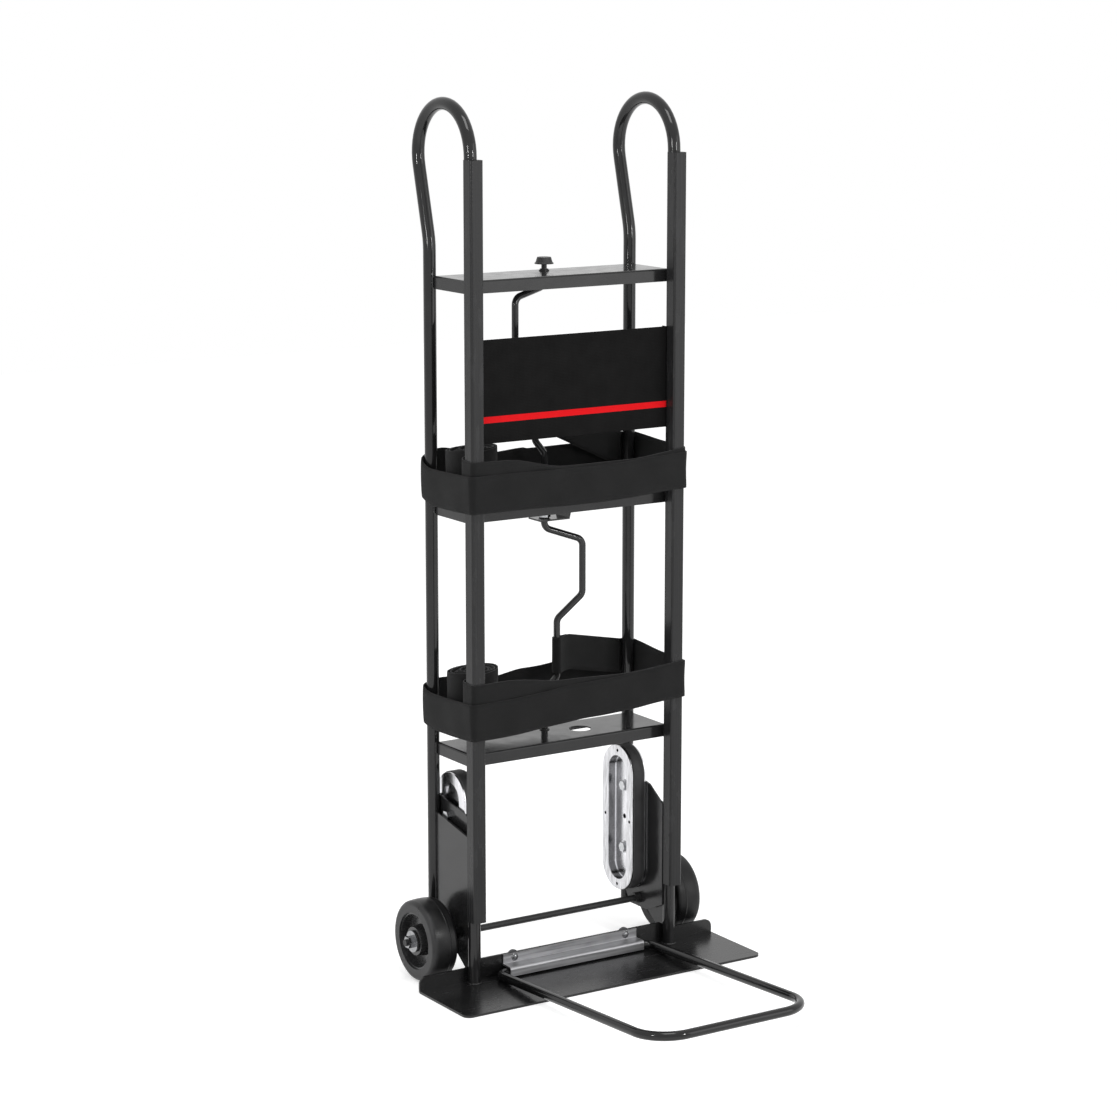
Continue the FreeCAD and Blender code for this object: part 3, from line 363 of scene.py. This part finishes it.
# Toe extension: round steel bar bent into a U, turning in the hinge bracket.
# Its black coat is as glossy as that of the tubes, and darker.
bar_coat = coated_steel("bar_coat", dark=0.004, light=0.008, gloss=0.09, peel=0.000002, shine=0.4)
dress(bar_coat, "toe_extension_bar")

# Gussets and climber plates: flat steel plates welded between the legs on each side; the axle
# passes through both, and the stair climbers are bolted to the inner ones.
gusset_coat = coated_steel("gusset_coat", dark=0.016, light=0.023, gloss=0.17, peel=0.000004, shine=0.38)
dress(gusset_coat, *both("side_gusset"), *both("climber_plate"))

# Stair climbers: an oblong cast aluminium shoe on each side, with bright machined rims and a
# rubber belt that slides round it when the truck is dragged over a step.
recess_start = 0.1625
recess_floor = 0.1755


def cast_aluminium(name):
    """Bright brushed rim; the cast wall round the recess is painted dark as shade and the cast floor inside
    it pale as lit.
    """
    made, tree, shader = new_material(name)
    x, _, _ = split_place(tree)
    from_middle = compute(tree, "ABSOLUTE", x)
    in_recess = compute(tree, "GREATER_THAN", from_middle, recess_start)
    lit_floor = compute(tree, "GREATER_THAN", from_middle, recess_floor)
    sand = noise(tree, scale=650, detail=3)
    brushing = patches(tree, scale=300, detail=4, stretch=(1, 0.8, 0.12))
    flow = noise(tree, scale=60, detail=4, stretch=(1, 1, 0.3))
    flow_patches = spread(tree, flow, 0, 1)
    rim = tint(tree, brushing, grey(0.44), grey(0.74))
    # Painted shade on the recess wall and painted light on its floor: the same cast metal, coloured dark
    # and pale.
    painted_shade_wall = tint(tree, flow_patches, grey(0.11), grey(0.24))
    recess = tint(tree, lit_floor, painted_shade_wall, tint(tree, flow_patches, grey(0.55), grey(0.82)))
    roughness = spread(tree, in_recess, 0.26, 0.2, start=0, end=1)
    relief = bump(tree, flow, depth=0.0002, under=bump(tree, sand, depth=0.00003))
    surface(tree, shader, tint(tree, in_recess, rim, recess), roughness, relief)
    shader.inputs["Metallic"].default_value = 1.0
    return made


def belt_rubber(name):
    """Dusty black rubber with fine ribs across the belt."""
    made, tree, shader = new_material(name)
    dust = patches(tree, scale=70, detail=4)
    ribs = noise(tree, scale=330, detail=1, stretch=(0.02, 1, 1))
    colour = tint(tree, dust, grey(0.024), grey(0.038))
    roughness = spread(tree, dust, 0.5, 0.7, start=0, end=1)
    surface(tree, shader, colour, roughness, bump(tree, ribs, depth=0.00012))
    return made


dress(cast_aluminium("cast_aluminium"), *both("climber_shoe"))
dress(belt_rubber("belt_rubber"), *both("climber_belt"))
bright_zinc = zinc_plate("bright_zinc", light=0.6)
dress(bright_zinc, "climber_bolts", "climber_spacers", "climber_nuts")

# Axle: one steel rod through gussets, climber plates and both wheels, with welded bosses inside,
# black spacers outside, and a plated washer and nut at each end.
axle_coat = coated_steel("axle_coat", dark=0.010, light=0.016, gloss=0.46, peel=0.000006)
dress(axle_coat, "axle", "axle_bosses", "axle_spacers")
dress(zinc_plate("washer_zinc", light=0.34), "axle_washers", "axle_nuts")

# Wheels: solid rubber tyres on black plastic hubs that turn on bronze bushes. The rubber is half
# matt with a mould seam round the tread; the hub has the faint grain of a moulded part.
tyre_seam_x = 0.249
seam_edges = (0.0004, 0.0022)
shoulder_edges = (0.022, 0.029)


def tyre_rubber(name):
    """Black rubber with a raised seam round the tread; the outer side wall is coloured paler as painted
    light.
    """
    made, tree, shader = new_material(name)
    dust = patches(tree, scale=40, detail=5)
    x, _, _ = split_place(tree)
    from_seam = compute(tree, "SUBTRACT", compute(tree, "ABSOLUTE", x), tyre_seam_x)
    inset = compute(tree, "ABSOLUTE", from_seam)
    seam = spread(tree, inset, 1, 0, *seam_edges)
    # Painted light: the outer side wall alone is coloured paler, as if lit; the inner one keeps the tread's
    # colour.
    lit_side = spread(tree, inset, 0, 1, *shoulder_edges)
    tread = tint(tree, dust, grey(0.006), grey(0.011))
    lit_side_wall = tint(tree, dust, grey(0.022), grey(0.038))
    roughness = spread(tree, dust, 0.27, 0.46, start=0, end=1)
    grain = bump(tree, noise(tree, scale=700, detail=3), depth=0.00002)
    relief = bump(tree, seam, depth=0.0005, under=grain)
    surface(tree, shader, tint(tree, lit_side, tread, lit_side_wall), roughness, relief)
    shader.inputs["Specular IOR Level"].default_value = 0.24
    return made


def moulded_plastic(name, dark, light, gloss):
    """Black plastic with slightly uneven colour and gloss and a fine mould grain."""
    made, tree, shader = new_material(name)
    colour = tint(tree, patches(tree, scale=25, detail=3), grey(dark), grey(light))
    roughness = spread(tree, noise(tree, scale=90, detail=3), gloss - 0.05, gloss + 0.08)
    surface(tree, shader, colour, roughness, bump(tree, noise(tree, scale=900, detail=2), depth=0.000015))
    return made


def sintered_bronze(name):
    """Porous bronze of a plain bush."""
    made, tree, shader = new_material(name)
    pores = noise(tree, scale=1800, detail=3)
    colour = tint(tree, spread(tree, pores, 0, 1), (0.30, 0.21, 0.11), (0.46, 0.34, 0.19))
    surface(tree, shader, colour, spread(tree, pores, 0.35, 0.55), bump(tree, pores, depth=0.00004))
    shader.inputs["Metallic"].default_value = 1.0
    return made


dress(moulded_plastic("hub_plastic", dark=0.020, light=0.032, gloss=0.24), *both("wheel_hub"))
dress(sintered_bronze("bush_bronze"), *both("hub_bushes"))
dress(tyre_rubber("tyre_rubber"), *both("tyre"))

# Strap cranks: two bent steel rods that turn in nylon bushes in the cross plates. The upper one
# hangs by its knob on the top plate, the lower one by a nut on the hanger under the middle plate.
crank_coat = coated_steel("crank_coat", dark=0.012, light=0.019, gloss=0.16, peel=0.000003, shine=0.4)
dress(crank_coat, "upper_crank", "lower_crank", "crank_hanger")
dress(moulded_plastic("bush_nylon", dark=0.016, light=0.024, gloss=0.45), "crank_bushes")
dress(moulded_plastic("knob_plastic", dark=0.010, light=0.018, gloss=0.42), "upper_crank_knob")
dress(bright_zinc, "lower_crank_nut")

# Straps: black woven webbing, one at each crank. A sewn band goes once round all four legs. The
# winding length runs from an eye on the crank round the right side and the front, and what is
# spare lies rolled up inside the left front leg.
webbing_width = 0.064
webbing_thickness = 0.0024
webbing_rows = 8
yarn_pitch = 0.0021
selvedge_start = webbing_width / 2 - 0.004
selvedge_full = webbing_width / 2 - 0.002
edge_thinning = 0.75
ripple_height = 0.0007
guard_low, guard_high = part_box("right_rail_guard")
guard_gap = 0.0003
side_face = guard_high.x + guard_gap
front_face = guard_low.y - guard_gap
front_corner = 0.005
rear_corner = 0.0113
inner_lap = 0.0013
outer_lap = 0.0039
point_pitch = 0.008
turn_in_y = 0.004
turn_in_radius = 0.014
roll_centre = Vector((-0.1695, 0.062))
roll_radius = 0.046
roll_core = 0.0105
roll_turns = 6.5
roll_steps = 190
crank_y = 0.095
eye_throw = 0.023
eye_radius = 0.0076
lap_end = (0.030, -0.0026)
lap_start = (0.018, -0.0036)
eye_throat = (0.020, 0.0012)
tail_start = 0.034
tail_level = 0.09
landing = Vector((0.197, 0.1475))


def webbing(name, level):
    """Plain weave: raised yarns both ways with painted shade in the hollows between them, a denser
    selvedge, fluff and faded patches.
    """
    made, tree, shader = new_material(name)
    along, across, _ = split_place(tree, "ShaderNodeUVMap", "UV")
    turns = 2 * math.pi / yarn_pitch
    weft = compute(tree, "SINE", compute(tree, "MULTIPLY", along, turns))
    warp = compute(tree, "SINE", compute(tree, "MULTIPLY", across, turns * 0.7))
    weave = compute(tree, "MULTIPLY", weft, warp)
    from_middle = compute(tree, "ABSOLUTE", compute(tree, "SUBTRACT", across, webbing_width / 2))
    selvedge = spread(tree, from_middle, 0, 1, selvedge_start, selvedge_full)
    fluff = noise(tree, scale=1100, detail=3)
    faded = tint(tree, patches(tree, scale=22, detail=5), grey(level * 0.75), grey(level * 1.35))
    # Painted shade: where the weave is low its colour is darker.
    shaded_yarns = tint(tree, spread(tree, weave, 0, 1, start=-0.6, end=0.8), grey(level * 0.55), faded)
    fibres = tint(tree, spread(tree, fluff, 0, 0.5, start=0.5, end=0.8), shaded_yarns, grey(level * 2.2))
    colour = tint(tree, selvedge, fibres, grey(level * 0.8))
    relief = bump(tree, fluff, depth=0.0002, under=bump(tree, weave, depth=0.00035))
    surface(tree, shader, colour, spread(tree, fluff, 0.75, 0.95), relief)
    shader.inputs["Specular IOR Level"].default_value = 0.2
    shader.inputs["Sheen Weight"].default_value = 0.06
    shader.inputs["Sheen Roughness"].default_value = 0.5
    return made


webbing_face = webbing("webbing_face", level=0.0075)
webbing_edge = webbing("webbing_edge", level=0.015)
webbing_fuzz = webbing("webbing_fuzz", level=0.055)


def corner(x, y, radius, start, end, steps=7):
    """Points of an arc; angles in degrees."""
    points = []
    for step in range(steps + 1):
        turn = math.radians(start + (end - start) * step / steps)
        points.append(Vector((x + radius * math.cos(turn), y + radius * math.sin(turn))))
    return points


def run(start, end):
    """Evenly spaced points of a straight run, its last point left out."""
    count = max(2, round((end - start).length / point_pitch))
    return [start.lerp(end, step / count) for step in range(count)]


def lengths(points):
    """Distance along a route at each of its points."""
    total = [0.0]
    for before, after in zip(points, points[1:]):
        total.append(total[-1] + (after - before).length)
    return total


def heights_along(route, marks):
    """Lower edge at each point of a route, eased between (share of the route, height) marks."""
    distance = lengths(route)
    return [between(marks, place / distance[-1]) for place in distance]


def between(marks, place):
    """Height at a place, eased between (place, height) marks."""
    for (start, low), (end, high) in zip(marks, marks[1:]):
        if place <= end:
            part = max(0.0, (place - start) / (end - start))
            return low + (high - low) * part * part * (3 - 2 * part)
    return marks[-1][1]


def ripple(distance, height):
    """Small waves of slack webbing, the same on every run."""
    long_wave = math.sin(distance * 47 + height * 60)
    short_wave = math.sin(distance * 83 - height * 35 + 1.1)
    return ripple_height * (long_wave + 0.7 * short_wave)


def strip_points(route, bottoms, distance, closed, slack):
    """Points of both faces of a strip, ring by ring along its route."""
    count = len(route)
    points = []
    for index, point in enumerate(route):
        ahead = route[(index + 1) % count] if closed or index + 1 < count else point
        behind = route[index - 1] if closed or index else point
        along = (ahead - behind).normalized()
        out = Vector((along.y, -along.x))
        for face, row in itertools.product((-1, 1), range(webbing_rows + 1)):
            height = webbing_width * row / webbing_rows
            thin = edge_thinning if row in (0, webbing_rows) else 1.0
            push = face * thin * webbing_thickness / 2 + slack * ripple(distance[index], height)
            points.append((point.x + out.x * push, point.y + out.y * push, bottoms[index] + height))
    return points


def strip_faces(count, distance, closed):
    """Faces of a strip, each with its places along and across the webbing; edges have kind 1."""
    other = webbing_rows + 1
    ring = 2 * other
    levels = [webbing_width * row / webbing_rows for row in range(other)]
    faces = []
    for index in range(count if closed else count - 1):
        here = index * ring
        there = (index + 1) % count * ring
        start, end = distance[index], distance[index + 1]
        for row in range(webbing_rows):
            low, high = levels[row], levels[row + 1]
            faces.append(((here + row, here + row + 1, there + row + 1, there + row),
                          ((start, low), (start, high), (end, high), (end, low)), 0))
            back, back_there = here + other + row, there + other + row
            faces.append(((back, back_there, back_there + 1, back + 1),
                          ((start, low), (end, low), (end, high), (start, high)), 0))
        for row, order in ((0, 1), (webbing_rows, -1)):
            quad = (here + row, there + row, there + other + row, here + other + row)
            spots = tuple((place, levels[row]) for place in (start, end, end, start))
            faces.append((quad[::order], spots[::order], 1))
    if not closed:
        for ring_start, order in ((0, 1), ((count - 1) * ring, -1)):
            for row in range(webbing_rows):
                near = ring_start + row
                quad = (near, near + other, near + other + 1, near + 1)
                faces.append((quad[::order], ((0, levels[row]),) * 4, 1))
    return faces


def strip(name, route, bottoms, edge, closed=False, slack=1.0):
    """Webbing of real thickness along a flat route; bottoms gives its lower edge at each point."""
    distance = lengths(route + route[:1] if closed else route)
    points = strip_points(route, bottoms, distance, closed, slack)
    faces = strip_faces(len(route), distance, closed)
    mesh = bpy.data.meshes.new(name)
    mesh.from_pydata(points, [], [quad for quad, _, _ in faces])
    layer = mesh.uv_layers.new(name="UVMap")
    for polygon, (_, spots, kind) in zip(mesh.polygons, faces):
        polygon.material_index = kind
        polygon.use_smooth = kind == 0
        for loop, spot in zip(polygon.loop_indices, spots):
            layer.data[loop].uv = spot
    mesh.materials.append(webbing_face)
    mesh.materials.append(edge)
    piece = bpy.data.objects.new(name, mesh)
    bpy.context.scene.collection.objects.link(piece)
    return piece, distance[-1]


def round_right_and_front(start, lap):
    """From a point behind the right rear leg round it, along the right side and round both front legs."""
    side = side_face + lap
    bend = front_corner + lap
    turn = rear_corner + lap
    inset = side_face - front_corner
    bend_y = front_face + front_corner
    route = run(start, Vector((side - turn, start.y)))
    route += corner(side - turn, rear_leg_y, turn, 90, 0)
    route += run(route.pop(), Vector((side, bend_y)))
    route += corner(inset, bend_y, bend, 0, -90)
    route += run(route.pop(), Vector((-inset, front_face - lap)))
    route += corner(-inset, bend_y, bend, 270, 180)
    return route


def band_route():
    """Closed route round all four legs, from the middle of the rear to the right, front and left."""
    side = side_face + outer_lap
    turn = rear_corner + outer_lap
    rear_middle = Vector((0, rear_leg_y + turn))
    route = round_right_and_front(rear_middle, outer_lap)
    route += run(route.pop(), Vector((-side, rear_leg_y)))
    route += corner(turn - side, rear_leg_y, turn, 180, 90)
    route += run(route.pop(), rear_middle)
    return route


def winding_route():
    """From the landing on the right rear leg round to the left front leg, and the roll after it."""
    side = side_face + inner_lap
    route = round_right_and_front(landing, inner_lap)
    route += run(route.pop(), Vector((-side, turn_in_y)))
    route += corner(-side + turn_in_radius, turn_in_y, turn_in_radius, 180, 90)
    route += run(route.pop(), roll_centre + Vector((0, -roll_radius)))
    roll = []
    for step in range(roll_steps + 1):
        part = step / roll_steps
        turn = math.radians(-90) + 2 * math.pi * roll_turns * part
        radius = roll_radius - (roll_radius - roll_core) * part
        radius *= 1 + 0.03 * math.sin(2 * turn + 0.6) + 0.012 * math.sin(5 * turn)
        roll.append(roll_centre + Vector((math.cos(turn), math.sin(turn))) * radius)
    return route, roll


def roll_bottoms(roll, roll_low):
    """Lower edge of the leaning roll, with its turns pushed a little up and down."""
    bottoms = []
    for step, point in enumerate(roll):
        lean = 0.06 * (point.x - roll_centre.x) - 0.05 * (point.y - roll_centre.y)
        push = 0.0022 * math.sin(step * 0.061) + 0.0012 * math.sin(step * 0.29)
        bottoms.append(roll_low + lean + push)
    return bottoms


def tail_route(angle):
    """Round the rod in an eye, then straight to the landing on the right rear leg."""
    turn = math.radians(angle)
    rod = Vector((eye_throw * math.cos(turn), crank_y + eye_throw * math.sin(turn)))
    along = (landing - rod).normalized()
    across = Vector((along.y, -along.x))
    heading = math.degrees(math.atan2(along.y, along.x))
    route = [rod + along * ahead + across * aside for ahead, aside in (lap_end, lap_start)]
    route += corner(rod.x, rod.y, eye_radius, heading + 60, heading + 300, 16)
    route += [rod + along * eye_throat[0] + across * eye_throat[1]]
    route += run(rod + along * tail_start, landing) + [landing]
    return route, along


def make_strap(name, angle, band_marks, winding_marks, tail_low, landing_low, roll_low):
    """One strap: the sewn band, the winding length with its roll, and the tail with its eye."""
    route = band_route()
    band, length = strip(name + "_band", route, heights_along(route, band_marks), webbing_edge, closed=True)
    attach(band, "frame")
    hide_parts(name)

    route, roll = winding_route()
    bottoms = heights_along(route, winding_marks) + roll_bottoms(roll, roll_low)
    winding, length = strip(name + "_winding", route + roll, bottoms, webbing_fuzz, slack=0.5)
    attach(winding, "frame")
    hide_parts(name)

    route, along = tail_route(angle)
    distance = lengths(route)
    fall = (landing_low - tail_low) / (distance[-1] - tail_level)
    bottoms = [tail_low + fall * max(0.0, place - tail_level) for place in distance]
    tail, length = strip(name + "_tail", route, bottoms, webbing_edge, slack=0.4)
    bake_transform(tail)
    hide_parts(name, name + "_eye")


make_strap(
    "upper_strap", angle=192.3,
    band_marks=[(0, 0.842), (0.17, 0.844), (0.3, 0.841), (0.48, 0.832), (0.65, 0.834), (0.79, 0.831),
                (0.86, 0.858), (0.93, 0.840), (1, 0.844)],
    winding_marks=[(0, 0.856), (0.21, 0.850), (0.45, 0.837), (0.62, 0.837), (0.8, 0.857), (0.9, 0.858),
                   (1, 0.866)],
    tail_low=0.938, landing_low=0.856, roll_low=0.867,
)
make_strap(
    "lower_strap", angle=-15.6,
    band_marks=[(0, 0.447), (0.17, 0.468), (0.3, 0.466), (0.48, 0.454), (0.65, 0.442), (0.79, 0.437),
                (0.86, 0.452), (0.93, 0.438), (1, 0.447)],
    winding_marks=[(0, 0.477), (0.21, 0.468), (0.45, 0.459), (0.62, 0.463), (0.8, 0.476), (0.9, 0.475),
                   (1, 0.480)],
    tail_low=0.511, landing_low=0.477, roll_low=0.481,
)

# Floor, light and camera: a plain white floor and soft boxes, seen from the photograph's viewpoint.
# The floor and the room show as white to the eye and in mirrors, and the floor takes the shadow.
floor_half = 8
floor_drop = 0.0005
white_lift = 0.45
room_behind = (0.54, 0.84, 0)
room_dim = 0.42
room_bright = 1.0
fade_start = -0.7
fade_end = 0.6
view_azimuth = math.radians(-32.865)
view_elevation = math.radians(10.938)
view_distance = 5.2842
view_target = Vector((-0.03175, 0, 0.73713))
view_lens = 98.95
view_sensor = 36.0


def looked_at(tree):
    """1 for rays that come from the camera, straight, off a mirror or through glass; else 0."""
    path = tree.nodes.new("ShaderNodeLightPath")
    bent = compute(tree, "MAXIMUM", path.outputs["Is Glossy Ray"], path.outputs["Is Transmission Ray"])
    return compute(tree, "MAXIMUM", path.outputs["Is Camera Ray"], bent)


def white_stage(name):
    """Pale matt surface that takes shadows, lifted to white where it is looked at."""
    made, tree, shader = new_material(name)
    shader.inputs["Base Color"].default_value = (0.86, 0.86, 0.86, 1)
    shader.inputs["Roughness"].default_value = 0.9
    shader.inputs["Specular IOR Level"].default_value = 0.0
    shader.inputs["Emission Color"].default_value = (1, 1, 1, 1)
    lift = spread(tree, looked_at(tree), 0, white_lift, start=0, end=1)
    tree.links.new(lift, shader.inputs["Emission Strength"])
    return made


floor_mesh = bpy.data.meshes.new("floor")
floor_corners = [(x * floor_half, y * floor_half, 0) for x, y in ((-1, -1), (1, -1), (1, 1), (-1, 1))]
floor_mesh.from_pydata(floor_corners, [], [(0, 1, 2, 3)])
floor_mesh.materials.append(white_stage("floor_white"))
floor = bpy.data.objects.new("floor", floor_mesh)
floor.location.z = -floor_drop
bpy.context.scene.collection.objects.link(floor)

room = bpy.data.worlds.new("room")
room.use_nodes = True
bpy.context.scene.world = room
room_tree = room.node_tree
seen = room_tree.nodes["Background"]
seen.inputs["Color"].default_value = (1, 1, 1, 1)
seen.inputs["Strength"].default_value = 1.0
lit = room_tree.nodes.new("ShaderNodeBackground")
lit.inputs["Color"].default_value = (1, 1, 1, 1)
direction = room_tree.nodes.new("ShaderNodeTexCoord")
facing = room_tree.nodes.new("ShaderNodeVectorMath")
facing.operation = "DOT_PRODUCT"
facing.inputs[1].default_value = room_behind
room_tree.links.new(direction.outputs["Generated"], facing.inputs[0])
fade = room_tree.nodes.new("ShaderNodeMapRange")
fade.interpolation_type = "SMOOTHSTEP"
fade.inputs["From Min"].default_value = fade_start
fade.inputs["From Max"].default_value = fade_end
fade.inputs["To Min"].default_value = room_dim
fade.inputs["To Max"].default_value = room_bright
room_tree.links.new(facing.outputs["Value"], fade.inputs["Value"])
room_tree.links.new(fade.outputs["Result"], lit.inputs["Strength"])
room_mix = room_tree.nodes.new("ShaderNodeMixShader")
room_tree.links.new(looked_at(room_tree), room_mix.inputs["Fac"])
room_tree.links.new(lit.outputs["Background"], room_mix.inputs[1])
room_tree.links.new(seen.outputs["Background"], room_mix.inputs[2])
room_tree.links.new(room_mix.outputs["Shader"], room_tree.nodes["World Output"].inputs["Surface"])


def aim(thing, direction):
    """Turn a lamp or camera to look along a direction."""
    thing.rotation_euler = direction.to_track_quat("-Z", "Y").to_euler()
    bpy.context.scene.collection.objects.link(thing)


def soft_box(name, place, target, width, height, power):
    """One rectangular lamp aimed at a point."""
    lamp = bpy.data.lights.new(name, "AREA")
    lamp.shape = "RECTANGLE"
    lamp.size = width
    lamp.size_y = height
    lamp.energy = power
    box = bpy.data.objects.new(name, lamp)
    box.location = place
    aim(box, Vector(target) - Vector(place))


soft_box("right_box", (3.2, -4.0, 1.7), (0, 0, 0.8), width=2.4, height=3.0, power=32)
soft_box("right_lamp", (0.9, -3.5, 1.72), (0, 0, 1.4), width=0.07, height=0.8, power=24)
soft_box("left_lamp", (-3.2, -1.28, 1.72), (0, 0, 1.4), width=0.07, height=0.8, power=24)
soft_box("top_box", (-0.4, -1.2, 4.0), (0, 0, 0.6), width=1.5, height=1.5, power=40)

back = Vector((math.sin(view_azimuth) * math.cos(view_elevation),
               -math.cos(view_azimuth) * math.cos(view_elevation),
               math.sin(view_elevation)))
lens = bpy.data.cameras.new("camera")
lens.lens = view_lens
lens.sensor_width = view_sensor
camera = bpy.data.objects.new("camera", lens)
camera.location = view_target + back * view_distance
aim(camera, -back)
bpy.context.scene.camera = camera
bpy.context.scene.view_settings.view_transform = "Standard"
